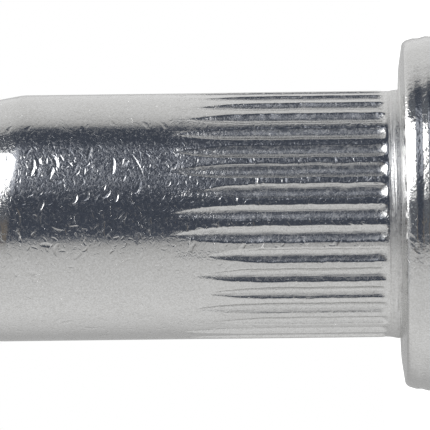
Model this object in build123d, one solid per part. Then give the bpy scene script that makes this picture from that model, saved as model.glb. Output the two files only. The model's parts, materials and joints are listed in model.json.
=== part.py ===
from build123d import *
from math import acos, cos, degrees, radians, sin, sqrt, tan
import os

# Flat-head rivet nut with a knurled shank, cold formed and tapped from one piece of steel.
# It stands on its head: the origin is the centre of the head's outer face, and +Z runs up the
# shank to the open tail. The clamping screw enters through the head, from below.
# All lengths are in millimetres and all angles in degrees.

# Thread and walls, which set the shank's diameter: 9 mm for a 6 mm coarse thread
thread_minor_diameter = 5.0    # tapping bore
thread_wall = 2.0              # solid steel round the thread
bulge_wall = 1.1               # thinner wall of the zone that bulges when the nut is set

# Head
head_overhang = 2.0            # how far it stands out from the shank, all round
head_thickness = 1.5
crown_radius = 1.3             # section radius of the barrel-shaped rim
crown_height = 0.6             # height of the widest place above the outer face
face_edge_radius = 0.2         # round between the outer face and the rim
seat_flat_width = 0.95         # flat ring of the head's underside, from the shank outwards
seat_bevel_drop = 0.17         # how far the underside falls away from there to the rim
seat_edge_radius = 0.2         # round between that bevel and the rim

# Shank
shank_length = 15.5            # from the head's underside to the tail
neck_fillet_radius = 0.2
nose_length = 1.3              # lead-in taper at the tail
nose_angle = 10.0              # between the taper and the axis
tail_edge_radius = 0.35

# Knurl
groove_count = 36
groove_depth = 0.12
groove_bottom_width = 0.2      # the narrow flat between the two flanks
groove_flank_angle = 35.0      # between a flank and the shank's surface
neck_land = 0.5                # plain neck between the head's underside and the grooves
groove_end_angle = 33.0        # slope of the steep end beside the neck
groove_full_length = 4.3       # stretch that has its full depth
run_out_radius = 28.0          # curve of the long run-out towards the tail
cutter_clearance = 0.05        # how far a groove cutter stands out of the shank

# Inside
clearance_bore_depth = 10.0    # from the outer face to the shoulder
mouth_chamfer = 0.3
shoulder_angle = 30.0          # between the shoulder's cone and a flat step
tail_chamfer = 0.6             # at 45 degrees, wider than the thread's major diameter

# Worked-out radii and heights
thread_radius = thread_minor_diameter / 2
shank_radius = thread_radius + thread_wall
bore_radius = shank_radius - bulge_wall
head_radius = shank_radius + head_overhang
seat_flat_radius = shank_radius + seat_flat_width
seat_height = head_thickness
bevel_height = seat_height - seat_bevel_drop
neck_height = seat_height + neck_land
tail_height = seat_height + shank_length
nose_height = tail_height - nose_length
nose_radius = shank_radius - nose_length * tan(radians(nose_angle))
shoulder_height = clearance_bore_depth + (bore_radius - thread_radius) * tan(radians(shoulder_angle))


def rim_radius(height):
    """Radius of the barrel-shaped rim at a height above the outer face."""
    return head_radius - crown_radius + sqrt(crown_radius**2 - (height - crown_height) ** 2)


def half_section():
    """Half of the nut's section on the XZ plane, with its rounded corners."""
    face_corner = (rim_radius(0), 0)
    bevel_corner = (rim_radius(bevel_height), bevel_height)
    neck_corner = (shank_radius, seat_height)
    tail_corner = (nose_radius, tail_height)
    rounds = (
        (face_corner, face_edge_radius),
        (bevel_corner, seat_edge_radius),
        (neck_corner, neck_fillet_radius),
        (tail_corner, tail_edge_radius),
    )
    with BuildSketch(Plane.XZ) as section:
        with BuildLine():
            Line((bore_radius + mouth_chamfer, 0), face_corner)
            ThreePointArc(face_corner, (head_radius, crown_height), bevel_corner)
            Polyline(
                bevel_corner,
                (seat_flat_radius, seat_height),
                neck_corner,
                (shank_radius, nose_height),
                tail_corner,
                (thread_radius + tail_chamfer, tail_height),
                (thread_radius, tail_height - tail_chamfer),
                (thread_radius, shoulder_height),
                (bore_radius, clearance_bore_depth),
                (bore_radius, mouth_chamfer),
                (bore_radius + mouth_chamfer, 0),
            )
        make_face()
        for corner, radius in rounds:
            fillet(section.vertices().sort_by_distance(corner)[0], radius)
    return section.sketch


def turned_blank():
    """The nut before knurling: head, neck, shank, nose and the stepped bore."""
    return revolve(half_section(), Axis.Z)


def groove_path():
    """Line of a groove's bottom: a straight stretch, then the long run-out on an arc."""
    bottom = shank_radius - groove_depth
    rise = groove_depth + cutter_clearance / 2
    run_out_angle = degrees(acos(1 - rise / run_out_radius))
    end_slope = tan(radians(groove_end_angle))
    start = neck_height - cutter_clearance / end_slope
    full_end = neck_height + groove_depth / end_slope + groove_full_length
    with BuildLine(Plane.XZ) as path:
        Line((bottom, start), (bottom, full_end))
        CenterArc((bottom + run_out_radius, full_end), run_out_radius, 180, -run_out_angle)
    return path.wires()[0]


def groove_section(path):
    """Outline of the knurl tooth across the path's start: a V with a flat bottom."""
    top_height = groove_depth + cutter_clearance
    bottom_half_width = groove_bottom_width / 2
    top_half_width = bottom_half_width + top_height / tan(radians(groove_flank_angle))
    across = Plane(origin=path @ 0, x_dir=(0, -1, 0), z_dir=path % 0)
    with BuildSketch(across) as tooth:
        with BuildLine():
            Polyline(
                (-bottom_half_width, 0),
                (bottom_half_width, 0),
                (top_half_width, top_height),
                (-top_half_width, top_height),
                close=True,
            )
        make_face()
    return tooth.sketch


def groove_cutter():
    """One knurl groove, as the solid that a tooth with a sloping end presses into the shank."""
    path = groove_path()
    tooth = sweep(groove_section(path), path=path)
    slope = radians(groove_end_angle)
    sloping_end = Plane(origin=(shank_radius, 0, neck_height), z_dir=(cos(slope), 0, sin(slope)))
    return split(tooth, bisect_by=sloping_end, keep=Keep.TOP)


def rivet_nut():
    """The finished nut: the blank with its ring of grooves."""
    cutter = groove_cutter()
    turns = [turn * 360 / groove_count for turn in range(groove_count)]
    return turned_blank() - [Rot(0, 0, turn) * cutter for turn in turns]


if __name__ == "__main__":
    os.makedirs("parts", exist_ok=True)
    export_step(rivet_nut(), "parts/rivet_nut.step")
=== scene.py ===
# %% [markdown]
# # A knurled rivet nut in plated steel
#
# A rivet nut is a short steel tube with a flat head and a thread inside. It is pushed into a hole
# in a sheet and squeezed, and then the sheet has a strong thread. This lesson dresses a CAD model
# of one. The CAD part already has every real size, so nothing is fitted here: the new piece is
# drawn from the same numbers and stands in the same place.

# %% Load the frame
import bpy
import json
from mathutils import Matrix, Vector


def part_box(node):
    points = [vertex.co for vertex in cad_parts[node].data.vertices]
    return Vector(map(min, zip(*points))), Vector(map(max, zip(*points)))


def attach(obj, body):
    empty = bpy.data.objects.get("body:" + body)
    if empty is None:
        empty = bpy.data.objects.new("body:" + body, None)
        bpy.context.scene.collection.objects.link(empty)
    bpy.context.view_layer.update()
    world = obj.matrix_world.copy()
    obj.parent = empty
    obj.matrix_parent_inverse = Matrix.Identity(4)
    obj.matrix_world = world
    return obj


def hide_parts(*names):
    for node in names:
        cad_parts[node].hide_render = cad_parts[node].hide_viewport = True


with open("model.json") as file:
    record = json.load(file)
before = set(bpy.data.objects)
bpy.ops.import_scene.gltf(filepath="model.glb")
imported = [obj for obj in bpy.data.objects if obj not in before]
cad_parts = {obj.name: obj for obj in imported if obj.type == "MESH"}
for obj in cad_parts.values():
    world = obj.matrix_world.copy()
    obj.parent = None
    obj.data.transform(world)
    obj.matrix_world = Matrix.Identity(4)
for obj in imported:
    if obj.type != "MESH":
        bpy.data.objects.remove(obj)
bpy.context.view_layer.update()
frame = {"record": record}

# %% Tools for the numbers
import json
from math import cos, pi, radians, sin, sqrt, tan

import bpy
import numpy as np
from mathutils import Matrix, Vector

mm_per_metre = 1000


# %% [markdown]
# ## Sizes
#
# The record that comes with the CAD model says where other parts mate with the nut. Those sizes
# are read from it, so a change to the CAD part reaches this scene. The rest are sizes that only
# the drawing has. Blender works in metres, and several of its tools treat anything under a tenth
# of a millimetre as zero. So the nut is drawn in millimetres, one Blender unit each, and scaled
# at the end.

# %% Sizes from the record, in millimetres
mount_sizes = {mount["name"]: mount["dims"] for mount in frame["record"]["mounts"]}
mount_places = {mount["name"]: mount["pos_m"] for mount in frame["record"]["mounts"]}
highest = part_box("rivet_nut")[1]

shank_radius = mount_sizes["shank"]["r_mm"]
thread_radius = mount_sizes["thread"]["r_mm"]
bore_radius = mount_sizes["clearance_bore"]["r_mm"]
head_radius = highest.x * mm_per_metre
tail_height = highest.z * mm_per_metre
seat_height = mount_places["seat"][2] * mm_per_metre
print("shank", shank_radius, "head", head_radius, "tail at", tail_height, "seat at", seat_height)

# %% Sizes from the drawing, in millimetres and degrees
crown_radius = 1.3             # section radius of the barrel-shaped rim
crown_height = 0.6             # its widest place above the outer face
seat_flat_radius = 5.45
seat_fall = 0.03               # from the neck to the edge of the underside's flat ring
seat_bevel_drop = 0.15
seat_edge_radius = 0.2
face_edge = (6.43, 0)          # corner between the rim and the outer face, before its round
face_edge_radius = 0.12
nose_length = 1.3
nose_angle = 10
nose_bend_radius = 1.5         # soft bend between the shank and the tail's taper
tail_edge_radius = 0.35
bore_depth = 10.0
mouth_chamfer = 0.3
shoulder_angle = 30.0
tail_chamfer = 0.6

# %% Sizes of the knurl
groove_count = 36
groove_depth = 0.12
groove_half_width = 0.27
groove_start = seat_height + 0.5
groove_full_end = 6.0
run_out_radius = 28.0
run_out_top = 10.4             # above the longest groove
columns_per_groove = 16
segments = groove_count * columns_per_groove
print(groove_count, "grooves,", segments, "columns of faces round the shank")

# %% [markdown]
# ## The half-section
#
# A turned part is one line turned about an axis. A reader could place a lathe profile by hand in
# edit mode. Here the same is done by code: the corners of the section are listed, each corner
# that is rounded on the real part gets an arc, and long runs are cut into rows where detail comes
# later.
#
# Three small forms of the head are drawn finer than in the CAD part, because bright metal shows
# them. The neck flares out by a twentieth of a millimetre and carries faint turned rings. The
# underside falls 0.03 mm towards the rim, as the die's draft leaves it. The barrel-shaped rim is
# two shallow cones with a narrow step between them, from the two halves of the die.

# %% Helpers for the section line
def rounded_corner(before, corner, after, radius, steps):
    """Points of the arc that replaces a corner, tangent to both of its sides."""
    corner = Vector(corner)
    back, ahead = (Vector(before) - corner).normalized(), (Vector(after) - corner).normalized()
    half_angle = back.angle(ahead) / 2
    middle = corner + (back + ahead).normalized() * radius / sin(half_angle)
    first = corner + back * radius / tan(half_angle) - middle
    last = corner + ahead * radius / tan(half_angle) - middle
    turn = first.angle_signed(last)
    return [tuple(middle + Matrix.Rotation(-turn * step / steps, 2) @ first)
            for step in range(steps + 1)]


def rows(start, end, count):
    """Evenly spaced points on a straight run, without its first point."""
    start, end = Vector(start), Vector(end)
    return [tuple(start.lerp(end, step / count)) for step in range(1, count + 1)]


def rim(height):
    """Point of the barrel-shaped rim of the head at a height above its outer face."""
    out = sqrt(crown_radius**2 - (height - crown_height) ** 2)
    return head_radius - crown_radius + out, height


print("rim at its widest:", rim(crown_height))


# %% Heights and radii that follow from the sizes
nose_height = tail_height - nose_length
nose_radius = shank_radius - nose_length * tan(radians(nose_angle))
bevel_height = seat_height - seat_bevel_drop
shoulder_height = bore_depth + (bore_radius - thread_radius) * tan(radians(shoulder_angle))
print("taper from", nose_height, "shoulder up to", round(shoulder_height, 2))

# %% The finer forms of the head
# The neck's flare: how far out from the shank, and how far above the underside
flare = [(0, 0.43), (0, 0.395), (0.004, 0.365), (0.010, 0.33), (0.020, 0.295), (0.025, 0.265),
         (0.031, 0.23), (0.039, 0.20), (0.044, 0.17), (0.048, 0.14), (0.0505, 0.11),
         (0.0515, 0.08), (0.0525, 0.0)]
# The rim's two cones and the step between them, as radius and height
drawn_head_radius = 6.5
bevel_end_height = 1.20
step_ring = [(6.378, 1.12), (6.395, 1.07), (6.411, 1.02), (6.423, 0.975), (6.4255, 0.94),
             (6.4275, 0.85), (6.4305, 0.757), (6.443, 0.715), (6.459, 0.66), (6.476, 0.60),
             (6.489, 0.555), (6.4993, 0.515), (6.500, 0.47), (6.492, 0.32), (6.465, 0.20)]
print("flare of", flare[-1][0], "mm, rim of", len(step_ring), "rings")

# %% The section line, from the tail round the outside and back up through the bore
tail_corner, nose_corner = (nose_radius, tail_height), (shank_radius, nose_height)
seat_corner, bevel_corner = (seat_flat_radius, seat_height - seat_fall), rim(bevel_height)
shank_rows = [(run_out_top, 12), (groove_full_end, 36), (groove_start + 0.4, 18),
              (groove_start - 0.04, 10)]

section = [(thread_radius + tail_chamfer, tail_height)]
section += rounded_corner(section[0], tail_corner, nose_corner, tail_edge_radius, 6)
section += rounded_corner(tail_corner, nose_corner, (shank_radius, run_out_top),
                          nose_bend_radius, 4)
for end_height, count in shank_rows:
    section += rows(section[-1], (shank_radius, end_height), count)
section += [(shank_radius + out, seat_height + above) for out, above in flare]
section += rows(section[-1], seat_corner, 3)
section += rounded_corner(seat_corner, bevel_corner, rim(bevel_height - 0.1), seat_edge_radius, 5)
section += [rim(bevel_end_height)]
section += [(head_radius - drawn_head_radius + radius, height) for radius, height in step_ring]
section += rounded_corner(section[-1], face_edge, (bore_radius, 0), face_edge_radius, 5)
section += rows(section[-1], (bore_radius + mouth_chamfer, 0), 2)
section += [(bore_radius, mouth_chamfer), (bore_radius, bore_depth),
            (thread_radius, shoulder_height), (thread_radius, tail_height - tail_chamfer)]
print("section line of", len(section), "points")


# %% Draw a line by extruding one vertex
def start_drawing():
    """Leaves edit mode and deselects all, because an operator acts on whatever is selected."""
    if bpy.context.object and bpy.context.object.mode == "EDIT":
        bpy.ops.object.mode_set(mode="OBJECT")
    bpy.ops.object.select_all(action="DESELECT")


def draw_loop(name, points):
    """A closed line in the XZ plane, drawn from corner to corner by extruding a single vertex."""
    start_drawing()
    bpy.ops.mesh.primitive_plane_add(size=1, location=(0, 0, 0))
    loop = bpy.context.object
    loop.name = loop.data.name = name
    bpy.ops.object.mode_set(mode="EDIT")
    bpy.ops.mesh.merge(type="CENTER")
    bpy.ops.transform.translate(value=(points[0][0], 0, points[0][1]))
    for here, there in zip(points, points[1:]):
        step = (there[0] - here[0], 0, there[1] - here[1])
        bpy.ops.mesh.extrude_region_move(TRANSFORM_OT_translate={"value": step})
    bpy.ops.mesh.select_all(action="DESELECT")
    bpy.ops.object.mode_set(mode="OBJECT")
    for end in (loop.data.vertices[0], loop.data.vertices[-1]):
        end.select = True
    bpy.ops.object.mode_set(mode="EDIT")
    bpy.ops.mesh.edge_face_add()
    bpy.ops.object.mode_set(mode="OBJECT")
    return loop


nut = draw_loop("plated_rivet_nut", section)
print("drawn line:", len(nut.data.edges), "edges")

# %% Spin it round the axis
weld_distance = 0.002
bpy.ops.object.mode_set(mode="EDIT")
bpy.ops.mesh.select_all(action="SELECT")
bpy.ops.mesh.spin(steps=segments, angle=2 * pi, center=(0, 0, 0), axis=(0, 0, 1))
bpy.ops.mesh.select_all(action="SELECT")
bpy.ops.mesh.remove_doubles(threshold=weld_distance)
bpy.ops.mesh.normals_make_consistent(inside=False)
bpy.ops.object.mode_set(mode="OBJECT")
print("turned blank:", len(nut.data.vertices), "vertices,", len(nut.data.polygons), "faces")

# %% [markdown]
# ## The knurl
#
# Thirty-six straight grooves are pressed into the shank. Each is a shallow round flute, 0.54 mm
# wide and 0.12 mm deep. Near the head it ends steeply at its full width, and towards the tail it
# gets shallower and narrower until it runs out. No two run out at quite the same place, because
# the blank wasn't quite straight in the tool. Cutting thirty-six tapered shapes with booleans
# would leave long thin faces. The blank has sixteen columns of faces for each groove instead.
# First the columns are slid sideways so that they follow the groove's edges, and then a Displace
# modifier presses them in, by a vertex group that holds each vertex's depth.

# %% How deep and how wide a groove is
pitch = 2 * pi * shank_radius / groove_count
groove_angle = 360 / groove_count
edge_round = 0.012
random = np.random.default_rng(36)
run_out_length = sqrt(2 * run_out_radius * groove_depth)
steep_end_length = 0.34

reach = random.uniform(8.5, 9.6, groove_count)
front_reach = {-150: 8.25, -140: 8.9, -130: 8.6, -120: 8.9, -110: 8.6, -100: 9.72, -90: 9.83,
               -80: 8.92, -70: 9.83, -60: 9.7, -50: 9.55, -40: 9.17, -30: 8.8, -20: 8.7}
for degrees_round, end_height in front_reach.items():
    reach[int(degrees_round // groove_angle)] = end_height
deeper = random.normal(0, 0.006, groove_count)
wave_lengths = random.uniform(0.8, 2.8, (groove_count, 4))
wave_starts = random.uniform(0, 2 * pi, (groove_count, 4))
ripple_lengths = random.uniform(0.16, 0.5, (groove_count, 2, 5))
ripple_starts = random.uniform(0, 2 * pi, (groove_count, 2, 5))


def depth_along(groove, height):
    """Depth of a groove's bottom at a height: a steep round end, full depth, then the run-out."""
    into = np.clip((height - groove_start) / steep_end_length, 0, 1)
    steep_end = 1 - (1 - into) ** 2
    past = np.clip(height - (reach[groove] - run_out_length), 0, None)
    full = groove_depth + deeper[groove]
    return np.clip(full * steep_end - past**2 / (2 * run_out_radius), 0, None)


def half_width(depth):
    """Half of the groove's width at the surface, narrower where the groove is shallow."""
    return groove_half_width * (depth / groove_depth) ** 0.75


print("grooves reach up to", reach.min().round(2), "to", reach.max().round(2), "mm")


# %% Which groove and which column a vertex belongs to
def coordinates(piece):
    """Every vertex of a piece as an array of x, y, z."""
    places = np.empty(len(piece.data.vertices) * 3)
    piece.data.vertices.foreach_get("co", places)
    return places.reshape(-1, 3)


places = coordinates(nut)
radius = np.hypot(places[:, 0], places[:, 1])
azimuth = np.degrees(np.arctan2(places[:, 1], places[:, 0]))
height = places[:, 2]
on_shank = abs(radius - shank_radius) < weld_distance
knurled = on_shank & (height > groove_start - 0.05) & (height < run_out_top)

number = np.round(azimuth / groove_angle).astype(int)
groove = number % groove_count
offset = (azimuth - number * groove_angle) / (groove_angle / 2)
side_columns = columns_per_groove // 2
column = np.round(abs(offset) * side_columns).astype(int)
side = (offset > 0).astype(int)
print(int(knurled.sum()), "vertices in the knurl")

# %% Where the grooves' edges run
narrowest = 0.03
depth = depth_along(groove, height)
widest_from = groove_start + steep_end_length
nominal = half_width(depth_along(groove, np.clip(height, widest_from, None)))
waves = np.sin(2 * pi * height[:, None] / wave_lengths[groove] + wave_starts[groove]).sum(1)
ripples = np.sin(2 * pi * height[:, None] / ripple_lengths[groove, side]
                 + ripple_starts[groove, side]).sum(1)
drift = 0.005 * waves
edge = np.clip(nominal + 0.0045 * ripples * (nominal > 0.02), narrowest, None)
print("half widths up to", round(float(nominal[knurled].max()), 3), "mm")

# %% Slide the columns to the grooves' edges
edge_column = 5
share = np.array([0, 0.20, 0.40, 0.60, 0.80, 0.95, 0, 0, 0])[column]
beyond = np.array([0, 0, 0, 0, 0, 0, 0.022, 0.055, 0])[column]
on_ridge_middle = column == side_columns


def spread(half):
    """How far from its groove's middle each vertex goes, for half widths of the grooves."""
    near = np.where(column <= edge_column, half * share, half + beyond)
    return np.where(on_ridge_middle, pitch / 2, near)


across, nominal_across = spread(edge), spread(nominal)
sign = np.where(offset < 0, -1, 1)
plain = abs(offset) * pitch / 2
loosen = np.clip((height - reach[groove] - 0.2) / 0.4, 0, 1)
slid = sign * (across * (1 - loosen) + plain * loosen) + drift * (1 - loosen)
along = np.where(on_ridge_middle, sign * pitch / 2, slid)
new_azimuth = np.radians(number * groove_angle) + along / shank_radius

moved = places.copy()
moved[knurled, 0] = (radius * np.cos(new_azimuth))[knurled]
moved[knurled, 1] = (radius * np.sin(new_azimuth))[knurled]
nut.data.vertices.foreach_set("co", moved.ravel())
nut.data.update()
print("columns slid by up to", round(float(abs(along)[knurled].max()), 3), "mm")

# %% How far in or out each vertex goes
deepest = 0.2                  # depth at full weight
crest_swell = 0.013            # the steel that the tool pushes up beside a groove
below = depth * (1 - (nominal_across / np.clip(nominal, 0.01, None)) ** 2)
pressed = (below + np.sqrt(below**2 + edge_round**2)) / 2 - 0.002
pressed = np.where(depth > 0, pressed, 0) * np.clip(depth / 0.01, 0, 1)
pressed = np.clip(pressed, 0, None)
swell = np.clip((reach[groove] - height) / 2.0, 0, 1)
swell = swell * np.clip((height - groove_start) / 0.3, 0, 1) * np.clip(1 - pressed / 0.03, 0, 1)
print("deepest", round(float(pressed[knurled].max()), 3), "mm")


# %% Press the grooves in
def displace(piece, name, weights, strength):
    """Moves vertices along their normals by a vertex group, with an applied Displace modifier."""
    group = piece.vertex_groups.new(name=name)
    for index in np.flatnonzero(weights > 0):
        group.add([int(index)], float(weights[index]), "REPLACE")
    push = piece.modifiers.new(name, "DISPLACE")
    push.vertex_group = name
    push.direction = "NORMAL"
    push.mid_level = 0
    push.strength = strength
    start_drawing()
    bpy.context.view_layer.objects.active = piece
    piece.select_set(True)
    bpy.ops.object.modifier_apply(modifier=name)
    piece.vertex_groups.remove(piece.vertex_groups[name])


displace(nut, "crests", np.where(knurled, swell, 0), crest_swell)
displace(nut, "grooves", np.where(knurled, pressed / deepest, 0), -deepest)
print("knurl pressed in")

# %% [markdown]
# ## The tail's slanted taper
#
# The lead-in at the tail doesn't start square to the axis, because it was pressed a little off
# centre: a cone of ten degrees that is moved 0.085 mm sideways meets the shank half a millimetre
# higher on one side and half a millimetre lower on the other. So every vertex outside near the
# taper's start is slid along the axis, and the tail's end is moved sideways.

# %% Shift the taper sideways
off_centre = 0.085
bend_zone = 0.3                # on both sides of the taper's start
end_zone = 0.4                 # below the tail's end
places = coordinates(nut)
outside = np.hypot(places[:, 0], places[:, 1]) > nose_radius - tail_edge_radius
height = places[:, 2].copy()
stations = [run_out_top + 2, nose_height - bend_zone, nose_height + bend_zone,
            tail_height - end_zone]
lift = np.interp(height, stations, [0, 1, 1, 0])
slant = -off_centre / tan(radians(nose_angle)) * places[:, 0] / shank_radius
places[:, 2] += np.where(outside, lift * slant, 0)
places[outside & (height > tail_height - end_zone), 0] -= off_centre
nut.data.vertices.foreach_set("co", places.ravel())
nut.data.update()
print("taper's start slants by", round(float(slant.max()), 2), "mm to each side")

# %% [markdown]
# ## The thread
#
# The thread is cut as in the workshop, with a tap: a trapezoid that stands out beyond the bore is
# turned about the axis while it climbs one pitch a turn, by a Screw modifier. The coil's ends are
# closed, and a boolean takes it away from the nut.

# %% Make the tap
thread_pitch = 1.0
thread_depth = 0.5
flank_angle = 30
tap_overlap = 0.2              # how far the coil reaches into the open bore
turns = 9
steps_per_turn = 96


def tap(bottom):
    """The coil that fills the thread's groove, as a closed piece."""
    crest, root = thread_radius + thread_depth, thread_radius - tap_overlap
    crest_half = thread_pitch / 16
    root_half = crest_half + (crest - root) * tan(radians(flank_angle))
    coil = draw_loop("tap", [(root, bottom - root_half), (crest, bottom - crest_half),
                             (crest, bottom + crest_half), (root, bottom + root_half)])
    climb = coil.modifiers.new("climb", "SCREW")
    climb.screw_offset = thread_pitch
    climb.iterations = turns
    climb.steps = climb.render_steps = steps_per_turn
    climb.use_merge_vertices = False
    bpy.ops.object.modifier_apply(modifier="climb")
    bpy.ops.object.mode_set(mode="EDIT")
    bpy.ops.mesh.select_all(action="DESELECT")
    bpy.ops.mesh.select_mode(type="EDGE")
    bpy.ops.mesh.select_non_manifold()
    bpy.ops.mesh.fill_holes(sides=0)
    bpy.ops.mesh.select_all(action="SELECT")
    bpy.ops.mesh.normals_make_consistent(inside=False)
    bpy.ops.object.mode_set(mode="OBJECT")
    return coil


thread_tap = tap(bottom=bore_depth - 0.8)
print("tap:", len(thread_tap.data.polygons), "faces")

# %% Cut the thread
cut = nut.modifiers.new("thread", "BOOLEAN")
cut.operation = "DIFFERENCE"
cut.object = thread_tap
cut.solver = "MANIFOLD"
start_drawing()
bpy.context.view_layer.objects.active = nut
nut.select_set(True)
bpy.ops.object.modifier_apply(modifier="thread")
bpy.data.objects.remove(thread_tap)
print("threaded nut:", len(nut.data.polygons), "faces")

# %% Scale it to metres and smooth it
nut.scale = [1 / mm_per_metre] * 3
bpy.ops.object.transform_apply(location=True, rotation=True, scale=True)
sharpest_smooth_angle = 38
bpy.ops.object.shade_smooth_by_angle(angle=radians(sharpest_smooth_angle))
triangles = sum(len(face.vertices) - 2 for face in nut.data.polygons)
print("triangles:", triangles)

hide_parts("rivet_nut")
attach(nut, "root")

# %% [markdown]
# ## Shader maths as Python
#
# A node tree for a worn metal has dozens of Math nodes. Written as expressions they are as easy
# to read as a formula: the class wraps one socket, and each operator adds its node.

# %% A socket that can be used in formulas
class Formula:
    """One output socket of the node tree that is being built."""

    tree = None

    def __init__(self, socket):
        self.socket = socket

    @classmethod
    def node(cls, kind, settings=None, inputs=None):
        """Adds a node of any type: first its settings, then its sockets' values or links."""
        new = cls.tree.nodes.new(kind)
        for name, value in (settings or {}).items():
            if name == "stops":
                ramp = new.color_ramp
                while len(ramp.elements) < len(value):
                    ramp.elements.new(1.0)
                for element, (place, colour) in zip(ramp.elements, value):
                    element.position = place
                    element.color = (*colour, 1)
            else:
                setattr(new, name, value)
        for name, value in (inputs or {}).items():
            if isinstance(value, Formula):
                cls.tree.links.new(value.socket, new.inputs[name])
            elif isinstance(value, bpy.types.NodeSocket):
                cls.tree.links.new(value, new.inputs[name])
            else:
                new.inputs[name].default_value = value
        return new

    @classmethod
    def math(cls, operation, *values):
        """One Math node."""
        new = cls.node("ShaderNodeMath", {"operation": operation}, dict(enumerate(values)))
        return cls(new.outputs[0])

    @classmethod
    def vector(cls, operation, *values, output="Vector"):
        """One Vector Math node."""
        new = cls.node("ShaderNodeVectorMath", {"operation": operation},
                       dict(enumerate(values)))
        return cls(new.outputs[output])

    def __add__(self, other): return Formula.math("ADD", self, other)
    def __radd__(self, other): return Formula.math("ADD", other, self)
    def __sub__(self, other): return Formula.math("SUBTRACT", self, other)
    def __rsub__(self, other): return Formula.math("SUBTRACT", other, self)
    def __mul__(self, other): return Formula.math("MULTIPLY", self, other)
    def __rmul__(self, other): return Formula.math("MULTIPLY", other, self)
    def __truediv__(self, other): return Formula.math("DIVIDE", self, other)
    def __rtruediv__(self, other): return Formula.math("DIVIDE", other, self)
    def __pow__(self, other): return Formula.math("POWER", self, other)


# %% Helpers for masks, colours and trees
def smooth_step(low, high, value):
    """0 below low, 1 above high, and a smooth passage between them."""
    new = Formula.node("ShaderNodeMapRange", {"interpolation_type": "SMOOTHSTEP"},
                       {"Value": value, "From Min": low, "From Max": high})
    return Formula(new.outputs["Result"])


def between(value, start, full_start, full_end, end):
    """1 in a range of values, with a smooth passage before and after it."""
    return smooth_step(start, full_start, value) * smooth_step(end, full_end, value)


def lay_over(under, mask, over):
    """One colour laid over another by a mask. Both are sockets or plain colours."""
    new = Formula.node("ShaderNodeMix", {"data_type": "RGBA"}, {0: mask, 6: under, 7: over})
    return new.outputs[2]


def fresh_tree(owner):
    """Empties a material's or world's node tree and makes it the one that formulas add to."""
    owner.use_nodes = True
    owner.node_tree.nodes.clear()
    Formula.tree = owner.node_tree


print("formulas are ready")

# %% [markdown]
# ## The plated steel
#
# Zinc plating is bright and slightly soft. The nuts are tumbled together after forming, so the
# skin is covered with curved nicks that only show where one of their sides catches a lamp. They
# come in three sizes, each from the cells of a Voronoi pattern, and a few larger ones are placed
# singly. Under them the skin has a fine grain. The grooves, which the tumbling doesn't reach,
# keep the drawn streaks of the knurling tool, their starts are crumpled, and the neck has turned
# streaks. All of it is a height that one Bump node reads, because none of these marks is deeper
# than 0.02 mm.

# %% Places on the nut, in millimetres
steel = bpy.data.materials.new("bright_plated_steel")
fresh_tree(steel)
where = Formula(Formula.node("ShaderNodeTexCoord").outputs["Object"])
scaled = Formula.node("ShaderNodeVectorMath", {"operation": "SCALE"},
                      {0: where, "Scale": mm_per_metre})
spot = Formula(scaled.outputs[0])
normal = Formula(Formula.node("ShaderNodeNewGeometry").outputs["Normal"])

parts = Formula.node("ShaderNodeSeparateXYZ", inputs={"Vector": spot})
out_x, out_y, out_z = (Formula(parts.outputs[axis]) for axis in "XYZ")
from_axis = Formula.math("SQRT", out_x * out_x + out_y * out_y)
azimuth = Formula.math("ARCTAN2", out_y, out_x)
print("first nodes of the steel:", len(steel.node_tree.nodes))


# %% Masks of the nut's zones
def falling(high, low, value):
    """1 below low, 0 above high: a smooth step that runs the other way."""
    return smooth_step(high, low, value)


on_neck = falling(1.96, 1.92, out_z) * falling(5.3, 5.0, from_axis)
on_rim = falling(1.48, 1.40, out_z) * smooth_step(5.4, 5.9, from_axis)
in_groove = between(from_axis, 4.0, 4.2, 4.465, 4.492) * falling(10.2, 9.9, out_z)
in_bore = falling(3.60, 3.45, from_axis)
clean_tail = smooth_step(15.6, 16.0, out_z) * smooth_step(-1.50, -1.43, azimuth)
smooth_band = between(azimuth, -1.04, -0.93, -0.66, -0.52)
around_shank = Formula.math("COSINE", azimuth * groove_count)
at_starts = between(out_z, 7.3, 8.3, 9.5, 10.1) * smooth_step(-0.3, 0.6, around_shank)
at_starts = at_starts * smooth_step(4.3, 4.4, from_axis)
print("masks done, nodes:", len(steel.node_tree.nodes))


# %% Clouds and streaks
def noise(scale, detail=2.0, distortion=0.0, shift=0.0, stretch=1.0):
    """Cloudy noise from 0 to 1. The scale is patches per millimetre, stretched round the axis."""
    place = Formula.vector("MULTIPLY", spot, (1 / stretch, 1 / stretch, 1))
    place = Formula.vector("ADD", place, (shift, shift * 1.7, -shift))
    new = Formula.node("ShaderNodeTexNoise", {"noise_dimensions": "3D"},
                       {"Vector": place, "Scale": scale, "Detail": detail,
                        "Distortion": distortion})
    return Formula(new.outputs["Fac"])


def streak_noise(scale, shift=0.0):
    """Noise drawn out along the axis, as the ribs of the knurling tool leave it."""
    place = Formula.vector("MULTIPLY", spot, (1, 1, 0.05))
    place = Formula.vector("ADD", place, (shift, 0, 0))
    new = Formula.node("ShaderNodeTexNoise", {"noise_dimensions": "3D"},
                       {"Vector": place, "Scale": scale, "Detail": 3.0, "Roughness": 0.6})
    return Formula(new.outputs["Fac"])


grain = noise(9, detail=2.5, distortion=1.4, stretch=1.3)
drawn = streak_noise(11, shift=3.0) - 0.5
turned_streaks = noise(16, detail=3, shift=4.0, stretch=20)
soft_waves = noise(2.6, detail=2, shift=5.0) - 0.5
mottle = noise(6, detail=3, distortion=0.8, shift=8.0) - 0.5
crumple = noise(4.5, detail=3, distortion=2.4, shift=9.0) - 0.5
print("clouds done, nodes:", len(steel.node_tree.nodes))


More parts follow.
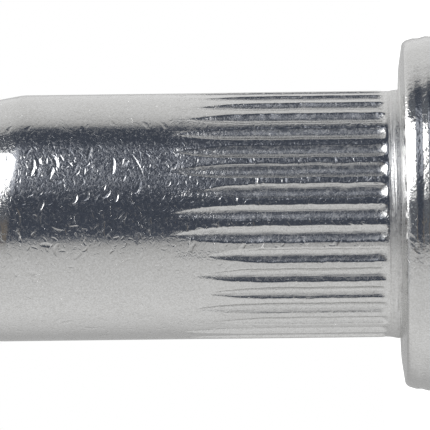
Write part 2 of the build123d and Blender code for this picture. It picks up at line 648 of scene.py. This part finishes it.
# %% Nicks from a Voronoi pattern
def marks(cell, length, width, curl, amount, shift):
    """Short curved dents, one in each cell of a Voronoi pattern, from 0 to 1 deep."""
    place = Formula.vector("ADD", spot, (shift, -shift, shift * 0.6))
    cells = Formula.node("ShaderNodeTexVoronoi", {"voronoi_dimensions": "3D", "feature": "F1"},
                         {"Vector": place, "Scale": 1 / cell, "Randomness": 1.0})
    nearest, chance = Formula(cells.outputs["Position"]), Formula(cells.outputs["Color"])
    chances = Formula.node("ShaderNodeSeparateColor", inputs={"Color": chance})
    round_shank = Formula.node("ShaderNodeCombineXYZ", inputs={
        "X": out_y * -0.09, "Y": out_x * 0.09})
    heading = Formula.vector("SUBTRACT", chance, (0.5, 0.5, 0.5))
    heading = Formula.vector("ADD", heading, Formula(round_shank.outputs["Vector"]))
    sideways = Formula.vector("NORMALIZE", Formula.vector("CROSS_PRODUCT", normal, heading))
    forwards = Formula.vector("CROSS_PRODUCT", sideways, normal)
    arm = Formula.vector("SUBTRACT", place, nearest)
    along_it = Formula.vector("DOT_PRODUCT", arm, forwards, output="Value")
    across_it = Formula.vector("DOT_PRODUCT", arm, sideways, output="Value")
    bend = Formula(chances.outputs["Red"]) - 0.5
    across_it = across_it + bend * curl * along_it * along_it
    fall = 1 - (along_it / length) ** 2 - (across_it / width) ** 2
    chosen = smooth_step(1 - amount, 1.0, Formula(chances.outputs["Green"]))
    return Formula.math("MAXIMUM", fall, 0) * chosen


long_marks = marks(cell=0.60, length=0.26, width=0.095, curl=3.0, amount=0.52, shift=0.0)
short_marks = marks(cell=0.34, length=0.15, width=0.048, curl=6.0, amount=0.82, shift=3.0)
tiny_marks = marks(cell=0.20, length=0.08, width=0.032, curl=12.0, amount=0.8, shift=7.0)
print("nicks done, nodes:", len(steel.node_tree.nodes))


# %% Single nicks
def nick(degrees_round, height, length, width, heading, depth):
    """One larger dent, at an azimuth in degrees and a height in millimetres."""
    angle, tilt = radians(degrees_round), radians(heading)
    outward = Vector((cos(angle), sin(angle), 0))
    upward = Vector((-sin(angle), cos(angle), 0))
    axis = Vector((0, 0, 1))
    forwards = (axis * cos(tilt) + upward * sin(tilt)) / length
    sideways = (upward * cos(tilt) - axis * sin(tilt)) / width
    arm = Formula.vector("SUBTRACT", spot, tuple(outward * shank_radius + axis * height))
    along_it = Formula.vector("DOT_PRODUCT", arm, tuple(forwards), output="Value")
    across_it = Formula.vector("DOT_PRODUCT", arm, tuple(sideways), output="Value")
    into_it = Formula.vector("DOT_PRODUCT", arm, tuple(outward), output="Value")
    across_it = across_it + along_it * along_it * 0.4
    fall = 1 - along_it * along_it - across_it * across_it - into_it * into_it
    return Formula.math("MAXIMUM", fall, 0) * depth


# degrees round, height, half length, half width, heading in degrees, depth
single_nicks = [(-63.6, 14.03, 0.33, 0.11, 64, 0.020), (-69.3, 14.17, 0.19, 0.10, 119, 0.018),
                (-67.3, 14.83, 0.35, 0.09, 100, 0.017), (-63.7, 14.63, 0.18, 0.10, 65, 0.017),
                (-66.8, 11.92, 0.35, 0.09, 93, 0.017), (-66.4, 11.02, 0.50, 0.05, 65, 0.009),
                (-81.7, 11.82, 0.21, 0.08, 95, 0.016), (-90.3, 15.40, 0.36, 0.12, 78, 0.016),
                (-82.9, 13.31, 0.20, 0.07, 120, 0.013), (-90.7, 14.77, 0.14, 0.09, 40, 0.014),
                (-131.5, 13.54, 0.18, 0.06, 70, 0.006), (-131.2, 12.22, 0.15, 0.06, 50, 0.006),
                (-130.6, 10.07, 0.17, 0.06, 40, 0.006), (-26.0, 15.30, 0.06, 0.06, 0, 0.012)]
dented = nick(*single_nicks[0])
for values in single_nicks[1:]:
    dented = Formula.math("MAXIMUM", dented, nick(*values))
print(len(single_nicks), "single nicks, nodes:", len(steel.node_tree.nodes))

# %% The height of the skin, in millimetres
tumbled = long_marks * 0.0145 + short_marks * 0.0071 + tiny_marks * 0.0032
tumbled = tumbled * (1 - smooth_band * 0.6) * (1 - clean_tail * 0.65)
sheltered = in_groove * 0.70 + on_rim * 0.45 + on_neck * 0.7 + in_bore * 0.9

skin = (grain * 0.0030 - dented - tumbled) * (1 - sheltered)
skin = skin + drawn * in_groove * 0.014
skin = skin + (soft_waves * 0.02 + mottle * 0.007) * on_rim
skin = skin + (turned_streaks - 0.5) * on_neck * 0.025
skin = skin + crumple * at_starts * 0.026
bump = Formula.node("ShaderNodeBump", inputs={
    "Height": skin, "Strength": 1.0, "Distance": 1 / mm_per_metre})
print("skin done, nodes:", len(steel.node_tree.nodes))

# %% Colour and roughness
darker_zinc, lighter_zinc = (0.50, 0.497, 0.488, 1), (0.60, 0.600, 0.595, 1)
fine_clouds = (noise(16, detail=2, shift=6.0) - 0.5) * 3.4
# The zinc's tone varies at random in clouds. The in_groove term makes it lighter inside the
# grooves: painted light that lifts the shade of these recesses.
tone_with_painted_groove_light = noise(0.9, detail=3, shift=2.0) * 0.5 + fine_clouds + in_groove * 0.25 + 0.25
zinc = lay_over(darker_zinc, tone_with_painted_groove_light, lighter_zinc)

speckle = smooth_step(0.42, 0.72, noise(9, detail=3, distortion=1.2, shift=11.0))
roughness = 0.08 + speckle * (1 - on_rim - in_bore * 0.8) * 0.24
roughness = roughness + on_neck * (turned_streaks * 0.5 - 0.02)
roughness = roughness + on_rim * 0.07 + in_groove * 0.155 + in_bore * 0.08

shader = Formula.node("ShaderNodeBsdfPrincipled", inputs={
    "Base Color": zinc, "Metallic": 1.0, "Roughness": roughness, "Normal": bump.outputs["Normal"]})
Formula.node("ShaderNodeOutputMaterial", inputs={"Surface": shader.outputs["BSDF"]})
nut.data.materials.clear()
nut.data.materials.append(steel)
print("steel has", len(steel.node_tree.nodes), "nodes")

# %% [markdown]
# ## The studio
#
# Metal shows what stands round it. Here that is a white light tent that is open towards the
# camera, which gives the dark band along the middle of the shank. The tent is a colour ramp round
# the axis in the world's shader, so it stands still when the nut is seen from elsewhere. The
# opening has a dim surround. A bluish patch low in it lights the nicks, a pale one higher up
# lights the head's rim, a warm one tints the tail, and one small lamp close above the tail gives
# it its white spot.

# %% Directions in the world
camera_azimuth = -91.2
world = bpy.data.worlds.new("light_tent")
bpy.context.scene.world = world
fresh_tree(world)
look = Formula(Formula.node("ShaderNodeTexCoord").outputs["Generated"])
axes = Formula.node("ShaderNodeSeparateXYZ", inputs={"Vector": look})
look_x, look_y, look_z = (Formula(axes.outputs[axis]) for axis in "XYZ")
steepness = Formula.math("ABSOLUTE", look_z)
turn = Formula.math("ARCTAN2", look_y, look_x) * (180 / pi)
around = Formula.math("FRACT", (turn - camera_azimuth + 540) / 360)
print("the tent opens at an azimuth of", camera_azimuth, "degrees")

# %% The tent's walls
# Degrees round from the camera, and how bright the wall is there
tent_stops = [(-180, 0.52), (-157, 0.54), (-142, 0.6), (-132, 0.73), (-120, 0.86), (-97, 1.0),
              (-60, 0.89), (-42, 0.82), (-34, 0.74), (-28, 0.64), (-23.5, 0.54), (-20, 0.16),
              (-16, 0.10), (0, 0.09), (90, 0.09), (93, 0.14), (95.5, 0.48), (100, 0.70),
              (110, 0.87), (122, 0.96), (158, 0.97), (168, 0.6)]
stops = []
for angle, level in tent_stops:
    blue = max(0.0, 0.35 - level)
    tint = (level * (1 - 0.55 * blue), level, level * (1 + 1.3 * blue))
    stops.append(((angle + 180) / 360, tint))
tent = Formula.node("ShaderNodeValToRGB", {"stops": stops}, {"Fac": around})
print("walls of", len(stops), "stops")

# %% The patches on the walls
surround = smooth_step(0.16, 0.36, steepness) * between(around, 0.44, 0.47, 0.73, 0.755)
overhead = smooth_step(0.75, 0.97, steepness)
bluish = between(look_z, 0.01, 0.10, 0.20, 0.34) * between(around, 0.55, 0.60, 0.68, 0.71)
warm = between(look_z, 0.20, 0.28, 0.38, 0.44) * between(around, 0.42, 0.46, 0.47, 0.52)
pale = between(look_z, 0.44, 0.50, 0.60, 0.66) * between(around, 0.525, 0.555, 0.665, 0.69)
patches = [(surround, (0.148, 0.162, 0.19, 1)), (overhead, (0.62, 0.63, 0.65, 1)),
           (bluish, (0.73, 0.77, 0.87, 1)), (warm, (0.25, 0.22, 0.19, 1)),
           (pale, (1.3, 1.3, 1.3, 1))]
tent_colour = tent.outputs["Color"]
for mask, patch_colour in patches:
    tent_colour = lay_over(tent_colour, mask, patch_colour)
print(len(patches), "patches")

# %% What each kind of ray sees
plain_light, white = (0.75, 0.75, 0.75, 1), (1, 1, 1, 1)
rays = Formula.node("ShaderNodeLightPath")
reflected = Formula.math("MAXIMUM", Formula(rays.outputs["Is Glossy Ray"]),
                         Formula(rays.outputs["Is Transmission Ray"]))
lit = lay_over(plain_light, reflected, tent_colour)
seen = lay_over(lit, Formula(rays.outputs["Is Camera Ray"]), white)
sky = Formula.node("ShaderNodeBackground", inputs={"Color": seen, "Strength": 1.0})
Formula.node("ShaderNodeOutputWorld", inputs={"Surface": sky.outputs["Background"]})
print("world has", len(world.node_tree.nodes), "nodes")

# %% The lamp
def lamp(name, width, length, level):
    """A rectangular lamp of a given brightness. Sizes are in metres."""
    data = bpy.data.lights.new(name, "AREA")
    data.shape = "RECTANGLE"
    data.size, data.size_y = width, length
    data.energy = level * pi * width * length
    new = bpy.data.objects.new(name, data)
    bpy.context.collection.objects.link(new)
    new.visible_camera = False
    return new


panel = lamp("tail_panel", 0.044, 0.101, 4.2)
print("lamp of", round(panel.data.energy, 4), "watts")


# %% Hang the lamp close above the tail, to one side of the camera, turned about its own axis
def pointing(degrees_round, degrees_up):
    """Unit vector at an azimuth and an elevation."""
    turn, climb = radians(degrees_round), radians(degrees_up)
    return Vector((cos(turn) * cos(climb), sin(turn) * cos(climb), sin(climb)))


shank_middle = Vector((0, 0, 0.008))
panel_distance = 0.0529
facing_degrees = camera_azimuth + 72.0
towards_panel = pointing(camera_azimuth + 79.4, 59.8)
facing = pointing(facing_degrees, 53.0)
level_side = pointing(facing_degrees + 90, 0)
steep_side = facing.cross(level_side)
turned = radians(-46.75)
side = level_side * cos(turned) + steep_side * sin(turned)
rise = steep_side * cos(turned) - level_side * sin(turned)
middle = shank_middle + towards_panel * panel_distance - side * 0.004 - rise * 0.0005
panel_axes = Matrix((side, rise, facing)).transposed().to_4x4()
panel.matrix_world = Matrix.Translation(middle) @ panel_axes
print("lamp at", [round(value, 3) for value in middle])

# %% [markdown]
# ## Floor and camera
#
# The nut stands on its head on a plain pale floor. The floor stays out of reflections, because
# the tent alone gives the metal its bands. The camera looks square at the shank from far off with
# a long lens, as in a catalogue close-up, and lies on its side, so that the shank runs across the
# picture.

# %% The floor
start_drawing()
bpy.ops.mesh.primitive_circle_add(vertices=96, radius=0.12, fill_type="NGON", location=(0, 0, 0))
floor = bpy.context.object
floor.name = floor.data.name = "studio_floor"
floor.visible_glossy = False
print("floor of", round(floor.dimensions.x, 2), "metres across")

# %% White paper
paper = bpy.data.materials.new("white_paper")
fresh_tree(paper)
rays = Formula.node("ShaderNodeLightPath")
shown = Formula.math("MAXIMUM", Formula(rays.outputs["Is Camera Ray"]),
                     Formula(rays.outputs["Is Glossy Ray"]))
sheet = Formula.node("ShaderNodeBsdfPrincipled", inputs={
    "Base Color": (0.8, 0.8, 0.8, 1), "Roughness": 0.9, "Specular IOR Level": 0.0})
shine = Formula.node("ShaderNodeEmission", inputs={"Color": white, "Strength": shown * 0.5})
both = Formula.node("ShaderNodeAddShader", inputs={
    0: sheet.outputs["BSDF"], 1: shine.outputs["Emission"]})
Formula.node("ShaderNodeOutputMaterial", inputs={"Surface": both.outputs["Shader"]})
floor.data.materials.append(paper)
print("paper has", len(paper.node_tree.nodes), "nodes")

# %% The camera
lens = bpy.data.cameras.new("product_camera")
lens.lens, lens.sensor_width = 800, 36
camera = bpy.data.objects.new("product_camera", lens)
bpy.context.collection.objects.link(camera)

distance, camera_height, camera_lift = 0.350, 0.00826, 0.000037
roll = radians(0.7)
backwards = pointing(camera_azimuth, 0)
upwards = pointing(camera_azimuth + 90, 0)
down = Vector((0, 0, -1))
right = down * cos(roll) - upwards * sin(roll)
up = upwards * cos(roll) + down * sin(roll)
camera_place = backwards * distance - down * camera_height + upwards * camera_lift
camera_axes = Matrix((right, up, backwards)).transposed().to_4x4()
camera.matrix_world = Matrix.Translation(camera_place) @ camera_axes
bpy.context.scene.camera = camera
bpy.context.scene.view_settings.view_transform = "Standard"
print("camera at", [round(value, 3) for value in camera_place])
